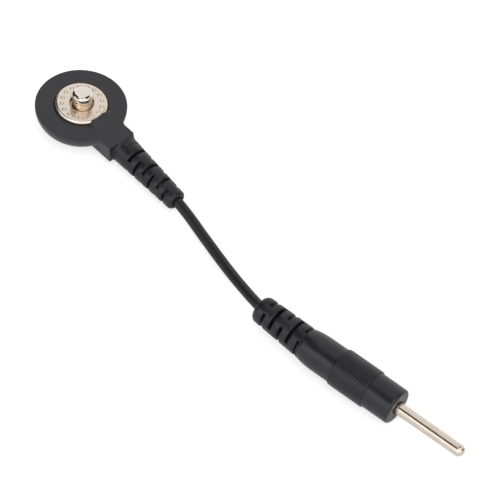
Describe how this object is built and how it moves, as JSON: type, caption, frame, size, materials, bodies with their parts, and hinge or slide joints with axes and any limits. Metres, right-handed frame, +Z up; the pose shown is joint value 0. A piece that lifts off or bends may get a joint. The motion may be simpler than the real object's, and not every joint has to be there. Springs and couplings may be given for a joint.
{
  "type": "snap_stud_to_pin_lead",
  "caption": "Short black adapter lead: a metal snap stud in a round moulded housing, slotted strain reliefs, and a plug with a metal contact pin.",
  "frame": {"origin": "on the snap stud's axis, in the plane that the lead rests on", "axes": "+Z up along the stud, +X from the stud along the lead towards the plug"},
  "size_m": [0.0942, 0.0148, 0.0079],
  "materials": {
    "black_moulding": "satin moulded black plastic with a fine grain",
    "black_boot": "satin flexible black plastic",
    "cord_jacket": "smooth satin black cord jacket",
    "inner_moulding": "plain dark grey moulding, hidden",
    "plate_nickel": "bright nickel plate, slightly warm",
    "stud_nickel": "bright nickel plate with worn edges",
    "pin_nickel": "turned and nickel plated, slightly pink",
    "washer_nickel": "plain plated steel, hidden",
    "tinned_brass": "tinned brass, hidden",
    "copper_strand": "bare stranded copper, hidden",
    "resistor_body": "lacquered ceramic, hidden"
  },
  "bodies": {
    "root": {"snap_housing": "black_moulding", "snap_core": "inner_moulding", "stud_plate": "plate_nickel", "snap_stud": "stud_nickel", "backing_washer": "washer_nickel", "rivet_post": "tinned_brass", "ring_terminal": "tinned_brass", "snap_boot": "black_boot", "cord_jacket": "cord_jacket", "cord_conductor": "copper_strand", "plug_boot": "black_boot", "plug_grip": "black_moulding", "pin_holder": "inner_moulding", "contact_pin": "pin_nickel", "series_resistor": "resistor_body", "crimp_sleeve": "tinned_brass", "cord_ferrule": "tinned_brass"}
  },
  "joints": []
}
